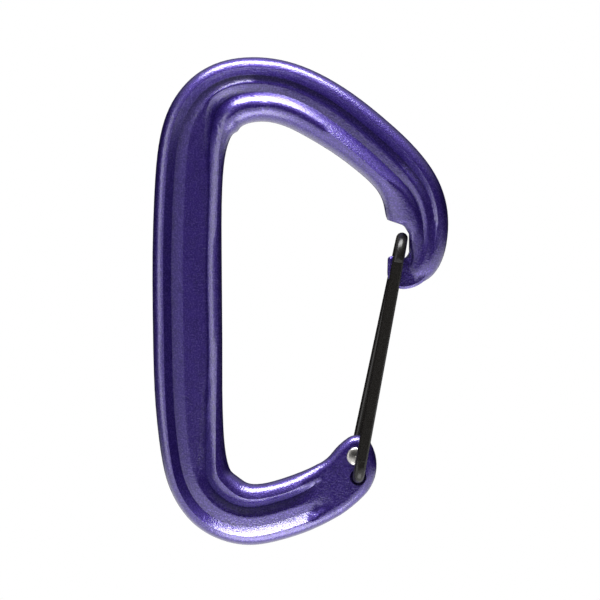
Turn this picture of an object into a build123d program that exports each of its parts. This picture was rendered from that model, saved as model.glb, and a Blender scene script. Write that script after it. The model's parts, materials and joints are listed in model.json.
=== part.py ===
from build123d import *
from bisect import bisect_right
from itertools import accumulate
from math import cos, pi, sin
import os

# A full-size wire-gate carabiner: a hot-forged aluminium body with a relieved section like an
# I-beam, and a gate bent from one stainless wire. The two legs of the wire turn in two offset
# holes through the eye of the body, so the wire twists as it opens and is its own spring.
#
# Frame: +Z up along the long axis, +X from the spine to the gate, the front face towards -Y.
# The origin is where a rope bears in the top basket, on the body's middle plane.

# ---- Driving dimensions, in millimetres and degrees ----------------------------------------

# The outer edge is a chain of tangent arcs, each a radius and a turn. It starts in the middle
# of the spine, where it runs straight up and down.
spine_outer_x = -21.7
spine_middle_z = -29.9

# Upwards from the middle of the spine, over the top and down to the tip of the nose
upper_spine = (310.0, 3.3)
spine_top = (89.0, 4.6)
shoulder_start = (28.8, 15.8)
shoulder = (17.0, 57.8)
crown = (26.7, 26.7)
top_arm_start = (39.0, 15.0)
top_arm = (84.0, 13.9)
brow = (23.6, 20.1)
nose_side = (19.9, 47.3)
nose_tip = (8.3, 61.0)

# Downwards from the middle of the spine, round the heel and up to the top of the eye
lower_spine = (766.0, 1.5)
spine_foot = (137.0, 6.9)
heel_start = (36.3, 12.5)
heel = (17.1, 81.8)
sole = (57.5, 9.8)
eye_arm = (29.5, 22.8)
eye_side = (8.8, 74.4)

# Half the height of the flat band round the edges, where the halves of the die meet
parting_band = 0.5

# How finely the round stretches are drawn: flats across the section for the outer edge, the way
# up to the inner crest and the bearing side, and even steps along the outer edge. A few more
# steps run on past the root of the eye, and are cut off there.
rim_flats = 4
rise_flats = 2
bearing_flats = 4
loft_steps = 32
overrun_steps = 3

# The eye: a plain plate that goes on from the lower arm, with two arcs over its top and a
# hollow arc back to the arm
eye_thickness = 4.8
eye_top = (3.2, 94.0)
eye_shoulder = (13.0, 19.2)
eye_hollow = (7.5, 31.2)
eye_root = 0.47  # where on the eye arm's arc the plate starts
eye_seam = 0.02  # how far the plate stands proud of the arm where they join

# The nose: a notch for the gate's crown, with a bevel round it on both faces, and a thin
# tongue that the arms of the gate straddle. Points are given from the tip of the nose.
notch_wall = 0.8
notch_wall_top = 11.1
notch_wall_bottom = 7.3
notch_ceiling = (-0.2, 12.8)
notch_ceiling_way = (-3.3, 1.1)
notch_mouth = 8.0
notch_corner_radius = 1.5
bevel_start = 2.4
bevel_width = 2.5
tongue_thickness = 4.8
tongue_edge_bevel = 0.5
tongue_depth = 2.5
tongue_rim_radius = 6.5
tongue_rim_turn = 60.0
hook_radius = 3.3
hook_turn = 96.0
hook_height = 3.5
hook_corner_radius = 0.7
notch_floor = (-0.2, 5.8)

# The gate's wire, and its two pivots given from the top of the eye's outer side
wire_diameter = 2.35
arm_offset = 4.3
foot_radius = 1.8
coined_depth = 0.35
coined_start = 3.5
coined_end = 5.0
coined_slope = 1.5
crown_clearance = 0.25
crown_height = 10.2
crown_split = 0.02
front_pivot = (-2.55, -6.8)
back_pivot = (-3.05, -2.6)

# The pivot holes and the formed ends of the legs
pivot_clearance = 0.05
countersink_depth = 0.45
head_radius = 1.8
head_height = 0.55
head_clearance = 0.04
dome_flats = 4  # across half of a head's dome


class Section:
    """Runs across the body from its outer edge, and the half thickness at the end of each."""

    def __init__(self, runs, heights):
        self.runs = runs
        self.heights = heights

    def mixed(self, other, share):
        runs = [a + (b - a) * share for a, b in zip(self.runs, other.runs)]
        heights = [a + (b - a) * share for a, b in zip(self.heights, other.heights)]
        return Section(runs, heights)

    def across(self, width):
        """The same section with its bearing side stretched to a total width."""
        runs = self.runs[:-1]
        return Section(runs + [width - sum(runs)], self.heights)


# Runs:               rim  wall slope riser land drop rise bearing
nose_end = Section([1.20, 0.40, 0.40, 0.30, 0.35, 0.40, 0.75, 1.20],
                   [2.10, 2.18, 2.24, 2.28, 2.30, 2.31, 2.32])
nose = Section([2.00, 0.40, 0.50, 0.30, 0.35, 0.50, 1.25, 1.90],
               [2.80, 2.90, 2.98, 3.06, 3.06, 2.92, 2.98])
over_brow = Section([2.15, 0.95, 0.85, 0.60, 0.40, 0.95, 1.55, 2.60],
                    [3.15, 2.35, 2.55, 3.15, 3.15, 2.60, 3.90])
arm = Section([2.10, 1.50, 1.05, 0.45, 0.40, 1.30, 2.45, 3.40],
              [3.30, 1.85, 2.05, 2.75, 2.75, 2.50, 4.60])
bend = Section([2.15, 1.55, 1.50, 0.35, 0.40, 1.90, 2.95, 3.20],
               [3.30, 1.70, 2.20, 2.60, 2.60, 1.35, 4.10])
spine = Section([2.20, 1.60, 2.20, 0.30, 3.80, 0.80, 1.85, 1.10],
                [3.30, 1.60, 2.20, 2.24, 2.22, 1.55, 2.70])
heel_basket = Section([1.60, 1.80, 1.95, 0.30, 0.40, 1.70, 2.20, 2.85],
                      [3.30, 1.60, 2.15, 2.20, 2.18, 1.50, 3.80])
sole_basket = Section([1.90, 1.90, 1.45, 0.30, 0.40, 1.65, 1.25, 2.65],
                      [3.20, 1.80, 2.20, 2.24, 2.22, 1.80, 3.70])

# ---- Outline --------------------------------------------------------------------------------

side = Plane.XZ  # X to the gate, Y up, facing the front


def chain(start, heading, bends, turning):
    """Tangent arcs in the plane of the body, turning left for 1 and right for -1."""
    arcs = []
    for radius, turn in bends:
        with BuildLine() as piece:
            JernArc(start, heading, radius, turning * turn)
        arcs.append(piece.edges()[0])
        start, heading = arcs[-1] @ 1, arcs[-1] % 1
    return arcs


def inward(onward):
    """The direction into the body, left of the way from the nose to the eye."""
    return Vector(-onward.Y, onward.X)


spine_middle = Vector(spine_outer_x, spine_middle_z)
upper_names = [upper_spine, spine_top, shoulder_start, shoulder, crown,
               top_arm_start, top_arm, brow, nose_side, nose_tip]
lower_names = [lower_spine, spine_foot, heel_start, heel, sole, eye_arm, eye_side]
upper = chain(spine_middle, Vector(0, 1), upper_names, -1)
lower = chain(spine_middle, Vector(0, -1), lower_names, 1)


def outer_place(bend_name, fraction):
    """A point of the outer edge, and the way onward from the nose to the eye."""
    if bend_name in upper_names:
        arc = upper[upper_names.index(bend_name)]
        return arc @ fraction, -(arc % fraction)
    arc = lower[lower_names.index(bend_name)]
    return arc @ fraction, arc % fraction


# The eye's own edge, from the end of the chain back to the start of the plate
root_point, root_way = outer_place(eye_arm, eye_root)
eye_point, eye_way = outer_place(eye_side, 1)
eye_over = chain(eye_point, eye_way, [eye_top, eye_shoulder], 1)
eye_over += chain(eye_over[-1] @ 1, eye_over[-1] % 1, [eye_hollow], -1)
root_inner = eye_over[-1] @ 1
root_width = (root_inner - root_point).length

flat_rim = eye_thickness / 2 - parting_band
flat_run = (root_width - 2 * flat_rim) / 6
crowning = [0.0, 0.002, 0.003, 0.0035, 0.003, 0.002, 0.0]
eye_plate = Section(
    [flat_rim] + [flat_run] * 6 + [flat_rim],
    [eye_thickness / 2 + rise for rise in crowning],
)

# Where each section stands: its bend, the fraction along it, how far in it starts, its width
stations = [
    (nose_tip, 0.85, 0.5, 5.0, nose_end),
    (nose_tip, 0.50, 0.0, 6.4, nose_end.mixed(nose, 0.70)),
    (nose_tip, 0.00, 0.0, 7.2, nose),
    (nose_side, 0.50, 0.0, 11.9, nose.mixed(over_brow, 0.60)),
    (nose_side, 0.00, 0.0, 12.1, over_brow),
    (brow, 0.00, 0.0, 11.4, over_brow.mixed(arm, 0.80)),
    (top_arm, 0.50, 0.0, 11.7, arm),
    (top_arm, 0.00, 0.0, 12.35, arm),
    (top_arm_start, 0.00, 0.0, 12.55, arm),
    (crown, 0.00, 0.0, 13.35, arm.mixed(bend, 0.45)),
    (shoulder, 0.50, 0.0, 14.1, bend),
    (shoulder, 0.00, 0.0, 13.7, bend.mixed(spine, 0.50)),
    (shoulder_start, 0.00, 0.0, 13.55, bend.mixed(spine, 0.80)),
    (spine_top, 0.00, 0.0, 13.55, spine),
    (upper_spine, 0.00, 0.0, 13.95, spine),
    (lower_spine, 1.00, 0.0, 13.8, spine),
    (spine_foot, 1.00, 0.0, 12.95, spine.mixed(heel_basket, 0.55)),
    (heel_start, 1.00, 0.0, 12.6, heel_basket),
    (heel, 0.33, 0.0, 12.85, heel_basket),
    (heel, 0.67, 0.0, 12.65, heel_basket.mixed(sole_basket, 0.40)),
    (heel, 1.00, 0.0, 11.95, heel_basket.mixed(sole_basket, 0.80)),
    (sole, 1.00, 0.0, 11.6, sole_basket.mixed(eye_plate, 0.15)),
]

# ---- Body -----------------------------------------------------------------------------------


def distance_to(bend_name, fraction):
    """How far a place is from the tip of the nose, along the outer edge."""
    if bend_name in upper_names:
        index = upper_names.index(bend_name)
        return sum(arc.length for arc in upper[index:]) - upper[index].length * fraction
    index = lower_names.index(bend_name)
    return sum(arc.length for arc in upper + lower[:index]) + lower[index].length * fraction


def place_at(distance):
    """The point of the outer edge at a distance from the tip of the nose, and the way onward."""
    for bend_name in upper_names[::-1] + lower_names:
        start = min(distance_to(bend_name, 0), distance_to(bend_name, 1))
        length = abs(distance_to(bend_name, 1) - distance_to(bend_name, 0))
        if distance <= start + length:
            break
    share = (distance - start) / length
    return outer_place(bend_name, 1 - share if bend_name in upper_names else share)


def smooth_between(stops, rows, place):
    """Rows of numbers at rising stops, joined by smooth curves and read at a place."""
    index = min(max(bisect_right(stops, place) - 1, 0), len(stops) - 2)
    gap = stops[index + 1] - stops[index]
    share = (place - stops[index]) / gap

    def slopes(at):
        before, after = max(at - 1, 0), min(at + 1, len(stops) - 1)
        run = stops[after] - stops[before]
        return [(b - a) / run for a, b in zip(rows[before], rows[after])]

    rise = share**2 * (3 - 2 * share)
    leaving = share * (1 - share) ** 2 * gap
    arriving = share**2 * (share - 1) * gap
    return [
        first + (last - first) * rise + out * leaving + back * arriving
        for first, last, out, back in zip(
            rows[index], rows[index + 1], slopes(index), slopes(index + 1))
    ]


def across_plane(point, across, onward):
    """X across the body from a point of its outer edge, Y out of its front face."""
    return Plane(
        origin=(point.X, 0, point.Y),
        x_dir=(across.X, 0, across.Y),
        z_dir=(onward.X, 0, onward.Y),
    )


def quarter(flats):
    """The angles at the joints between the flats that make up a rounded quarter."""
    return [pi / 2 * joint / flats for joint in range(1, flats)]


def draw_section(section):
    """One half of a section in the current line builder, then its mirror image."""
    stops = list(accumulate(section.runs))
    corners = list(zip(stops, section.heights))
    rim, rim_height = corners[0]
    trough, crest = corners[-2:]
    width = stops[-1]
    Polyline(
        (0, 0),
        (0, parting_band),
        *[(rim - rim * cos(angle), parting_band + (rim_height - parting_band) * sin(angle))
          for angle in quarter(rim_flats)],
        *corners[:-1],
        *[(trough[0] + (crest[0] - trough[0]) * angle / (pi / 2),
           trough[1] + (crest[1] - trough[1]) * sin(angle))
          for angle in quarter(rise_flats)],
        crest,
        *[(crest[0] + (width - crest[0]) * sin(angle),
           parting_band + (crest[1] - parting_band) * cos(angle))
          for angle in quarter(bearing_flats)],
        (width, parting_band),
        (width, 0),
    )
    mirror(about=Plane.XZ)


# The eye, a plate with rounded edges that starts on the last section of the arm
root_across = (root_inner - root_point).normalized()
root_plane = across_plane(root_point, root_across, -inward(root_across))
with BuildPart() as eye:
    with BuildSketch(side.offset(-eye_thickness / 2 - eye_seam)):
        with BuildLine():
            JernArc(root_point, root_way, eye_arm[0], eye_arm[1] * (1 - eye_root))
            add([lower[-1], *eye_over])
            Line(root_inner, root_point)
        make_face()
        offset(amount=eye_seam, kind=Kind.INTERSECTION)
    extrude(amount=eye_thickness + 2 * eye_seam)
    root_middle = side.from_local_coords((root_point + root_inner) / 2)
    root_face = eye.faces().sort_by_distance(root_middle)[0]
    flats = eye.faces().filter_by(Axis.Y)
    fillet(flats.edges() - root_face.edges(), radius=flat_rim)

# The notch, cut through the nose with a bevel that widens towards both faces
tip_point, tip_way = outer_place(nose_tip, 1)
wall_top = tip_point + Vector(notch_wall, notch_wall_top)
wall_bottom = tip_point + Vector(notch_wall, notch_wall_bottom)
ceiling_point = tip_point + Vector(*notch_ceiling)
ceiling_way = Vector(*notch_ceiling_way).normalized()
mouth = Vector(-notch_mouth, 0)


def round_corner(sketch, corner, radius):
    """Round the corner of a sketch that is nearest to a point."""
    fillet(sketch.vertices().sort_by_distance(corner)[0], radius=radius)


with BuildPart() as notch:
    with BuildSketch(side) as notch_outline:
        with BuildLine():
            Polyline(wall_bottom, wall_top, ceiling_point, ceiling_point + ceiling_way * notch_mouth,
                     wall_bottom + mouth, close=True)
        make_face()
        round_corner(notch_outline, ceiling_point, notch_corner_radius)
    extrude(amount=bevel_start, both=True)
    for facing in (1, -1):
        with BuildSketch(side.offset(facing * bevel_start)):
            add(notch_outline.sketch_local)
        extrude(amount=facing * bevel_width, taper=-45)

# The tongue below the notch, thin enough to pass between the arms of the gate
with BuildPart() as tongue:
    with BuildSketch(side.offset(-tongue_thickness / 2)) as tongue_outline:
        with BuildLine():
            rim_edge = JernArc(tip_point, tip_way, tongue_rim_radius, tongue_rim_turn)
            hook = JernArc(tip_point, -tip_way, hook_radius, -hook_turn)
            hook_top = hook @ 1 + hook % 1 * hook_height
            Polyline(hook @ 1, hook_top, tip_point + Vector(*notch_floor),
                     wall_bottom, wall_bottom + Vector(tongue_depth, 0), rim_edge @ 1)
        make_face()
        round_corner(tongue_outline, hook_top, hook_corner_radius)
        round_corner(tongue_outline, tip_point + Vector(*notch_floor), notch_corner_radius)
    extrude(amount=tongue_thickness)
    chamfer(tongue.faces().filter_by(Axis.Y).edges(), length=tongue_edge_bevel)

# The pivot holes, countersunk on both faces, one for each leg of the gate
front_pivot_point = eye_point + Vector(*front_pivot)
back_pivot_point = eye_point + Vector(*back_pivot)
hole_radius = wire_diameter / 2 + pivot_clearance
face = eye_thickness / 2 + eye_seam


def along_hole(pivot, facing):
    """A plane with X across a pivot hole and Y out of the front (1) or back (-1) face."""
    return Plane(
        origin=side.from_local_coords(pivot),
        x_dir=(1, 0, 0),
        z_dir=(0, 0, -facing),
    )


with BuildPart() as holes:
    for pivot in (front_pivot_point, back_pivot_point):
        plane = along_hole(pivot, 1)
        with BuildSketch(plane):
            with BuildLine():
                Polyline((0, -face), (hole_radius + countersink_depth, -face),
                         (hole_radius, countersink_depth - face),
                         (hole_radius, face - countersink_depth),
                         (hole_radius + countersink_depth, face), (0, face), close=True)
            make_face()
        revolve(axis=Axis(plane.origin, plane.y_dir))

# The body, lofted in even steps from the nose to the root of the eye
section_stops = [distance_to(station[0], station[1]) for station in stations]
section_stops.append(distance_to(eye_arm, eye_root))
section_rows = [
    [inset, *profile.across(width).runs, *profile.heights]
    for bend_name, fraction, inset, width, profile in stations
]
section_rows.append([0.0, *eye_plate.runs, *eye_plate.heights])
loft_step = (section_stops[-1] - section_stops[0]) / loft_steps

with BuildPart() as body:
    for index in range(loft_steps):
        distance = section_stops[0] + loft_step * index
        point, onward = place_at(distance)
        across = inward(onward)
        inset, *numbers = smooth_between(section_stops, section_rows, distance)
        with BuildSketch(across_plane(point + across * inset, across, onward)):
            with BuildLine():
                draw_section(Section(numbers[:8], numbers[8:]))
            make_face()
    for index in range(overrun_steps + 1):
        point = root_point + root_way * loft_step * index
        with BuildSketch(across_plane(point, root_across, -inward(root_across))):
            with BuildLine():
                draw_section(eye_plate)
            make_face()
    loft()
    with BuildSketch(root_plane):
        with Locations((root_width / 2, 0)):
            Rectangle(2 * root_width, 2 * eye_thickness)
    extrude(amount=loft_step * (overrun_steps + 1), mode=Mode.SUBTRACT)
    add(notch.part, mode=Mode.SUBTRACT)
    add([eye.part, tongue.part])
    add(holes.part, mode=Mode.SUBTRACT)

# ---- Gate -----------------------------------------------------------------------------------

crown_point = Vector(
    tip_point.X + notch_wall - crown_clearance - wire_diameter / 2,
    tip_point.Y + crown_height,
)
crown_radius = arm_offset - crown_split / 2


def gate_half(pivot, facing):
    """One leg, foot, arm and half of the crown, on the front (1) or back (-1) of the body."""
    reach = (crown_point - pivot).length
    along = (crown_point - pivot).normalized()
    arm_plane = Plane(
        origin=side.from_local_coords(pivot),
        x_dir=(along.X, 0, along.Y),
        z_dir=Vector(along.X, 0, along.Y).cross(Vector(0, -facing, 0)),
    )
    with BuildPart() as half:
        with BuildLine(arm_plane) as path:
            leg = Line((0, countersink_depth - face), (0, arm_offset - foot_radius))
            foot = JernArc(leg @ 1, leg % 1, foot_radius, -90)
            arm_line = Line(foot @ 1, foot @ 1 + foot % 1 * (reach - crown_radius - foot_radius))
            JernArc(arm_line @ 1, arm_line % 1, crown_radius, -90)
        with BuildSketch(Plane(origin=path.line @ 0, z_dir=path.line % 0)):
            Circle(wire_diameter / 2)
        sweep()
        coined_face = arm_offset + wire_diameter / 2 - coined_depth
        with BuildSketch(arm_plane.offset(-wire_diameter)):
            with BuildLine():
                Polyline((coined_start, coined_face),
                         (reach - coined_end, coined_face),
                         (reach - coined_end + coined_slope, coined_face + 2 * coined_depth),
                         (coined_start - coined_slope, coined_face + 2 * coined_depth),
                         close=True)
            make_face()
        extrude(amount=2 * wire_diameter, mode=Mode.SUBTRACT)
    return half.part


def leg_head(pivot, facing):
    """The end of a leg, headed over in the countersink of the far face."""
    plane = along_hole(pivot, -facing)
    start = wire_diameter / 2
    dome = head_height - head_clearance
    with BuildPart() as head:
        with BuildSketch(plane):
            with BuildLine():
                Polyline((0, face + head_height), (0, face - countersink_depth),
                         (start, face - countersink_depth), (start + countersink_depth, face),
                         (start + countersink_depth, face + head_clearance),
                         (head_radius, face + head_clearance),
                         *[(head_radius * cos(angle), face + head_clearance + dome * sin(angle))
                           for angle in quarter(dome_flats)],
                         close=True)
            make_face()
        revolve(axis=Axis(plane.origin, plane.y_dir))
    return head.part


front_wire = gate_half(front_pivot_point, 1)
back_wire = gate_half(back_pivot_point, -1)
front_leg_head = leg_head(front_pivot_point, 1)
back_leg_head = leg_head(back_pivot_point, -1)

body.part.label = "body"
front_wire.label = "front_wire"
back_wire.label = "back_wire"
front_leg_head.label = "front_leg_head"
back_leg_head.label = "back_leg_head"

os.makedirs("parts", exist_ok=True)
export_step(body.part, "parts/body.step")
export_step(front_wire, "parts/front_wire.step")
export_step(back_wire, "parts/back_wire.step")
export_step(front_leg_head, "parts/front_leg_head.step")
export_step(back_leg_head, "parts/back_leg_head.step")
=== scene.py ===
import json
import math

import bmesh
import bpy
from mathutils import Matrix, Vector

# A wire-gate carabiner: a forged, purple anodised body and a black wire gate whose headed ends
# are bare steel. Metres, in the frame of the part: +Z up, the front face towards -Y.

MM = 0.001

# What the camera frames: the width of the picture at the body's middle plane, and its centre
VIEW_WIDTH = 0.12052
VIEW_CENTRE_X = 0.00794
VIEW_CENTRE_Z = -0.03582
CAMERA_DISTANCE = 1.2
SENSOR_WIDTH = 36.0  # millimetres
CLIP_START = 0.01
CLIP_END = 10.0

PURPLE = (0.042, 0.016, 0.240, 1.0)
DEEP_PURPLE = (0.032, 0.012, 0.190, 1.0)
# Lavender for the specks of painted highlight that are mixed into the body's colour
PAINTED_HIGHLIGHT = (0.115, 0.068, 0.430, 1.0)
BLACK = (0.010, 0.009, 0.008, 1.0)
STEEL = (0.620, 0.600, 0.570, 1.0)
WHITE = (1.0, 1.0, 1.0, 1.0)
PALE = (0.85, 0.85, 0.85, 1.0)

# How many grains of noise there are to a metre, and how deep the finest of them is
BLASTED_GRAIN = 3100.0
DYE_MOTTLE = 700.0
DRAWN_GRAIN = 2600.0
HAMMERED_DENTS = 900.0
BLASTED_DEPTH = 0.05 * MM
DRAWN_DEPTH = 0.01 * MM
HAMMERED_DEPTH = 0.05 * MM
SOFT_BUMP = 0.4

# The stretches of the noise's range over which roughness, dye and the specks of painted highlight go
# from end to end
NOISE_LOW, NOISE_HIGH = 0.3, 0.7
DYE_LOW, DYE_HIGH = 0.35, 0.65
PAINTED_HIGHLIGHT_LOW, PAINTED_HIGHLIGHT_HIGH = 0.44, 0.74

# The roughness of each metal, in the hollows of its grain and on top of it
BLASTED_ROUGHNESS = (0.54, 0.42)
DRAWN_ROUGHNESS = (0.22, 0.32)
HAMMERED_ROUGHNESS = (0.22, 0.36)

# The clear oxide over the dye
COAT_IOR = 2.0
COAT_ROUGHNESS = 0.20

# Edges that turn by less than this are parts of one curved surface
SMOOTH_TURN = math.radians(42.0)
WELD_GAP = 1e-6

# The room that metal mirrors, by the way that it looks, as a unit vector: pale above and below,
# fainter on the left of the camera, a glimmer at the camera and dark everywhere else
DARK_LEVEL = 0.0
FRONT_LEVEL = 0.02
OPEN_LEVEL = 0.45
LEFT_LEVEL = 0.35
OPEN_FROM, OPEN_TO = 0.35, 0.80
LEFT_FROM, LEFT_TO = -0.25, -0.70
AHEAD_FROM, AHEAD_TO = 0.10, -0.40
FRONT_FROM, FRONT_TO = -0.80, -1.0

# The soft light from all round, on what isn't a mirror
AMBIENT = 0.5

# The floor, and how much of it is white by itself where it is seen, under the shadow
FLOOR_DEPTH = -0.45
FLOOR_SIZE = 4.0
FLOOR_WHITE = 0.85

# Soft boxes: name, place, width, height and power in watts
LAMPS = [
    ("above", (0.0, -0.12, 0.44), 0.50, 0.26, 5.0),
    ("below", (0.05, -0.16, -0.40), 0.40, 0.30, 1.0),
    ("left", (-0.45, -0.25, 0.02), 0.20, 0.40, 0.35),
]


# ---- Node helpers --------------------------------------------------------------------------


def new_material(name):
    """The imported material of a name, emptied, with its node tree, shader and output."""
    material = bpy.data.materials[name]
    material.use_nodes = True
    tree = material.node_tree
    tree.nodes.clear()
    output = tree.nodes.new("ShaderNodeOutputMaterial")
    shader = tree.nodes.new("ShaderNodeBsdfPrincipled")
    tree.links.new(shader.outputs["BSDF"], output.inputs["Surface"])
    return material, tree, shader


def feed(tree, socket, value):
    """Give a socket a value, or link it to another socket."""
    if isinstance(value, bpy.types.NodeSocket):
        tree.links.new(value, socket)
    else:
        socket.default_value = value


def noise(tree, scale, detail=2.0, roughness=0.5):
    """Solid noise in object space, with its scale in features per metre."""
    place = tree.nodes.new("ShaderNodeTexCoord")
    node = tree.nodes.new("ShaderNodeTexNoise")
    node.inputs["Scale"].default_value = scale
    node.inputs["Detail"].default_value = detail
    node.inputs["Roughness"].default_value = roughness
    tree.links.new(place.outputs["Object"], node.inputs["Vector"])
    return node.outputs["Fac"]


def remap(tree, value, low, high, to_low, to_high):
    """A straight map of a value from one range to another, clamped."""
    node = tree.nodes.new("ShaderNodeMapRange")
    node.inputs["From Min"].default_value = low
    node.inputs["From Max"].default_value = high
    node.inputs["To Min"].default_value = to_low
    node.inputs["To Max"].default_value = to_high
    tree.links.new(value, node.inputs["Value"])
    return node.outputs["Result"]


def maths(tree, operation, first, second=0.0):
    """A Math node; either value may be a number or a socket."""
    node = tree.nodes.new("ShaderNodeMath")
    node.operation = operation
    feed(tree, node.inputs[0], first)
    feed(tree, node.inputs[1], second)
    return node.outputs["Value"]


def mix_colours(tree, share, first, second):
    """A blend from the first colour to the second, by a share from 0 to 1."""
    node = tree.nodes.new("ShaderNodeMix")
    node.data_type = "RGBA"
    feed(tree, node.inputs["Factor"], share)
    feed(tree, node.inputs["A"], first)
    feed(tree, node.inputs["B"], second)
    return node.outputs["Result"]


def bump(tree, height, distance, strength=1.0):
    """A bump whose full height is a distance in metres, softened by a strength under 1."""
    node = tree.nodes.new("ShaderNodeBump")
    node.inputs["Distance"].default_value = distance
    node.inputs["Strength"].default_value = strength
    tree.links.new(height, node.inputs["Height"])
    return node.outputs["Normal"]


# ---- Materials -----------------------------------------------------------------------------


def anodised_body():
    """Blasted and dyed aluminium: dark purple metal with a fine glitter from its bumped grain and
    specks of painted highlight in its colour, under a clear oxide.
    """
    material, tree, shader = new_material("anodised_body")
    grain = noise(tree, BLASTED_GRAIN, detail=1.0, roughness=0.6)
    mottle = noise(tree, DYE_MOTTLE, detail=3.0)
    depth = remap(tree, mottle, DYE_LOW, DYE_HIGH, 0.0, 1.0)
    # Specks of painted highlight: the dye turns lighter lavender where the fine grain noise is high
    painted_highlight_share = remap(tree, grain, PAINTED_HIGHLIGHT_LOW, PAINTED_HIGHLIGHT_HIGH, 0.0, 1.0)
    dye = mix_colours(tree, depth, PURPLE, DEEP_PURPLE)
    dye_and_painted_highlights = mix_colours(tree, painted_highlight_share, dye, PAINTED_HIGHLIGHT)
    tree.links.new(dye_and_painted_highlights, shader.inputs["Base Color"])
    gloss = remap(tree, grain, NOISE_LOW, NOISE_HIGH, *BLASTED_ROUGHNESS)
    tree.links.new(gloss, shader.inputs["Roughness"])
    blasting = bump(tree, grain, BLASTED_DEPTH)
    tree.links.new(blasting, shader.inputs["Normal"])
    tree.links.new(blasting, shader.inputs["Coat Normal"])
    shader.inputs["Metallic"].default_value = 1.0
    shader.inputs["Coat Weight"].default_value = 1.0
    shader.inputs["Coat IOR"].default_value = COAT_IOR
    shader.inputs["Coat Roughness"].default_value = COAT_ROUGHNESS
    return material


def black_wire():
    """Black coated steel wire, satin, with faint drawing marks."""
    material, tree, shader = new_material("black_wire")
    grain = noise(tree, DRAWN_GRAIN)
    shader.inputs["Base Color"].default_value = BLACK
    gloss = remap(tree, grain, NOISE_LOW, NOISE_HIGH, *DRAWN_ROUGHNESS)
    tree.links.new(gloss, shader.inputs["Roughness"])
    tree.links.new(bump(tree, grain, DRAWN_DEPTH, SOFT_BUMP), shader.inputs["Normal"])
    shader.inputs["Metallic"].default_value = 0.0
    return material


def bare_steel():
    """Bright headed wire end with a little hammering."""
    material, tree, shader = new_material("bare_steel")
    dents = noise(tree, HAMMERED_DENTS)
    shader.inputs["Base Color"].default_value = STEEL
    gloss = remap(tree, dents, NOISE_LOW, NOISE_HIGH, *HAMMERED_ROUGHNESS)
    tree.links.new(gloss, shader.inputs["Roughness"])
    tree.links.new(bump(tree, dents, HAMMERED_DEPTH, SOFT_BUMP), shader.inputs["Normal"])
    shader.inputs["Metallic"].default_value = 1.0
    return material


def sharp_edges():
    """A geometry node group that shades a mesh smooth, but for the edges that turn sharply."""
    group = bpy.data.node_groups.new("sharp_edges", "GeometryNodeTree")
    group.interface.new_socket("Geometry", in_out="INPUT", socket_type="NodeSocketGeometry")
    group.interface.new_socket("Geometry", in_out="OUTPUT", socket_type="NodeSocketGeometry")
    source = group.nodes.new("NodeGroupInput")
    result = group.nodes.new("NodeGroupOutput")
    turn = group.nodes.new("GeometryNodeInputMeshEdgeAngle")
    sharp = group.nodes.new("FunctionNodeCompare")
    faces = group.nodes.new("GeometryNodeSetShadeSmooth")
    edges = group.nodes.new("GeometryNodeSetShadeSmooth")
    sharp.operation = "GREATER_THAN"
    sharp.inputs["B"].default_value = SMOOTH_TURN
    faces.domain = "FACE"
    faces.inputs["Shade Smooth"].default_value = True
    edges.domain = "EDGE"
    edges.inputs["Shade Smooth"].default_value = False
    group.links.new(turn.outputs["Unsigned Angle"], sharp.inputs["A"])
    group.links.new(source.outputs["Geometry"], faces.inputs["Geometry"])
    group.links.new(faces.outputs["Geometry"], edges.inputs["Geometry"])
    group.links.new(sharp.outputs["Result"], edges.inputs["Selection"])
    group.links.new(edges.outputs["Geometry"], result.inputs["Geometry"])
    return group


def dress(node, material, edges):
    """Give a CAD node its one material, and smooth shading across its gentle edges."""
    node.data.materials.clear()
    node.data.materials.append(material)
    weld = node.modifiers.new("weld", "WELD")
    weld.merge_threshold = WELD_GAP
    split = node.modifiers.new("sharp_edges", "NODES")
    split.node_group = edges
    normals = node.modifiers.new("normals", "WEIGHTED_NORMAL")
    normals.mode = "FACE_AREA_WITH_ANGLE"
    normals.keep_sharp = True


# ---- Stage ---------------------------------------------------------------------------------


def add_camera():
    """A long lens straight in front of the part."""
    data = bpy.data.cameras.new("camera")
    data.sensor_width = SENSOR_WIDTH
    data.lens = SENSOR_WIDTH * CAMERA_DISTANCE / VIEW_WIDTH
    data.clip_start = CLIP_START
    data.clip_end = CLIP_END
    camera = bpy.data.objects.new("camera", data)
    camera.location = (VIEW_CENTRE_X, -CAMERA_DISTANCE, VIEW_CENTRE_Z)
    camera.rotation_euler = (math.radians(90.0), 0.0, 0.0)
    bpy.context.scene.collection.objects.link(camera)
    bpy.context.scene.camera = camera


def add_area(name, place, width, height, power):
    """A rectangular soft box that points from its place to the middle of the part."""
    centre = Vector((VIEW_CENTRE_X, 0.0, VIEW_CENTRE_Z))
    data = bpy.data.lights.new(name, "AREA")
    data.shape = "RECTANGLE"
    data.size = width
    data.size_y = height
    data.energy = power
    lamp = bpy.data.objects.new(name, data)
    lamp.location = place
    lamp.rotation_euler = (centre - Vector(place)).to_track_quat("-Z", "Y").to_euler()
    lamp.visible_camera = False
    bpy.context.scene.collection.objects.link(lamp)


def seen(tree, path):
    """1 for what the camera sees itself, in metal or through glass."""
    glossy, through = path.outputs["Is Glossy Ray"], path.outputs["Is Transmission Ray"]
    mirrored = maths(tree, "MAXIMUM", glossy, through)
    return maths(tree, "MAXIMUM", path.outputs["Is Camera Ray"], mirrored)


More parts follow.
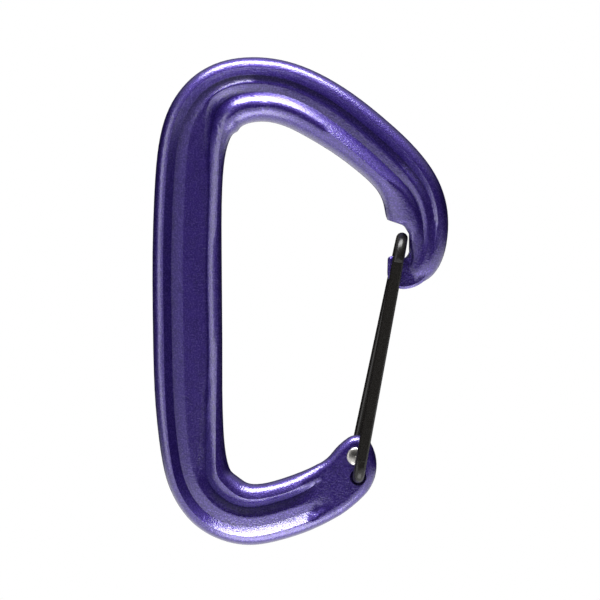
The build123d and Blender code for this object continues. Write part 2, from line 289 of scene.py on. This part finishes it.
def light_world():
    """White to the camera, the room to what mirrors it, and a soft light from all round."""
    world = bpy.data.worlds.new("studio")
    bpy.context.scene.world = world
    world.use_nodes = True
    tree = world.node_tree
    tree.nodes.clear()
    output = tree.nodes.new("ShaderNodeOutputWorld")
    path = tree.nodes.new("ShaderNodeLightPath")
    way = tree.nodes.new("ShaderNodeTexCoord")
    axes = tree.nodes.new("ShaderNodeSeparateXYZ")
    tree.links.new(way.outputs["Generated"], axes.inputs["Vector"])
    height = maths(tree, "ABSOLUTE", axes.outputs["Z"])
    open_side = remap(tree, height, OPEN_FROM, OPEN_TO, DARK_LEVEL, OPEN_LEVEL)
    ahead = remap(tree, axes.outputs["Y"], AHEAD_FROM, AHEAD_TO, 0.0, 1.0)
    leftward = remap(tree, axes.outputs["X"], LEFT_FROM, LEFT_TO, 0.0, LEFT_LEVEL)
    left = maths(tree, "MULTIPLY", leftward, ahead)
    front = remap(tree, axes.outputs["Y"], FRONT_FROM, FRONT_TO, DARK_LEVEL, FRONT_LEVEL)
    room = maths(tree, "MAXIMUM", maths(tree, "MAXIMUM", open_side, left), front)
    shown = maths(tree, "MAXIMUM", room, path.outputs["Is Camera Ray"])
    white = tree.nodes.new("ShaderNodeBackground")
    light = tree.nodes.new("ShaderNodeBackground")
    mix = tree.nodes.new("ShaderNodeMixShader")
    white.inputs["Color"].default_value = WHITE
    light.inputs["Color"].default_value = WHITE
    light.inputs["Strength"].default_value = AMBIENT
    tree.links.new(shown, white.inputs["Strength"])
    tree.links.new(seen(tree, path), mix.inputs["Fac"])
    tree.links.new(light.outputs["Background"], mix.inputs[1])
    tree.links.new(white.outputs["Background"], mix.inputs[2])
    tree.links.new(mix.outputs["Shader"], output.inputs["Surface"])


def add_floor():
    """A plain pale floor, well below; it looks white, keeps a shadow, and doesn't show from below."""
    material = bpy.data.materials.new("floor")
    material.use_nodes = True
    tree = material.node_tree
    tree.nodes.clear()
    output = tree.nodes.new("ShaderNodeOutputMaterial")
    path = tree.nodes.new("ShaderNodeLightPath")
    side = tree.nodes.new("ShaderNodeNewGeometry")
    matt = tree.nodes.new("ShaderNodeBsdfDiffuse")
    white = tree.nodes.new("ShaderNodeEmission")
    clear = tree.nodes.new("ShaderNodeBsdfTransparent")
    front = tree.nodes.new("ShaderNodeMixShader")
    both = tree.nodes.new("ShaderNodeMixShader")
    matt.inputs["Color"].default_value = PALE
    white.inputs["Color"].default_value = WHITE
    tree.links.new(maths(tree, "MULTIPLY", seen(tree, path), FLOOR_WHITE), front.inputs["Fac"])
    tree.links.new(matt.outputs["BSDF"], front.inputs[1])
    tree.links.new(white.outputs["Emission"], front.inputs[2])
    tree.links.new(side.outputs["Backfacing"], both.inputs["Fac"])
    tree.links.new(front.outputs["Shader"], both.inputs[1])
    tree.links.new(clear.outputs["BSDF"], both.inputs[2])
    tree.links.new(both.outputs["Shader"], output.inputs["Surface"])

    mesh = bpy.data.meshes.new("floor")
    form = bmesh.new()
    bmesh.ops.create_grid(form, x_segments=1, y_segments=1, size=FLOOR_SIZE / 2)
    form.to_mesh(mesh)
    form.free()
    mesh.materials.append(material)
    floor = bpy.data.objects.new("floor", mesh)
    floor.location = (0.0, 0.0, FLOOR_DEPTH)
    bpy.context.scene.collection.objects.link(floor)


# ---- Scene ---------------------------------------------------------------------------------

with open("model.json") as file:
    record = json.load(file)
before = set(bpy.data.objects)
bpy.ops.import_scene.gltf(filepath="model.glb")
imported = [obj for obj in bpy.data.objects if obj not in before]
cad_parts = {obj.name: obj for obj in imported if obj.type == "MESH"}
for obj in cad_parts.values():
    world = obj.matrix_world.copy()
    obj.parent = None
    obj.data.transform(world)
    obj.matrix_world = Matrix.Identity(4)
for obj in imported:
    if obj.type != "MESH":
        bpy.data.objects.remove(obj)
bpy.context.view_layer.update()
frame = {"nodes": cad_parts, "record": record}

finishes = {
    "anodised_body": anodised_body(),
    "black_wire": black_wire(),
    "bare_steel": bare_steel(),
}
edges = sharp_edges()
for part in frame["record"]["subparts"]:
    dress(frame["nodes"][part["node"]], finishes[part["material_slot"]], edges)

add_camera()
light_world()
add_floor()
for lamp in LAMPS:
    add_area(*lamp)

bpy.context.scene.view_settings.view_transform = "Standard"
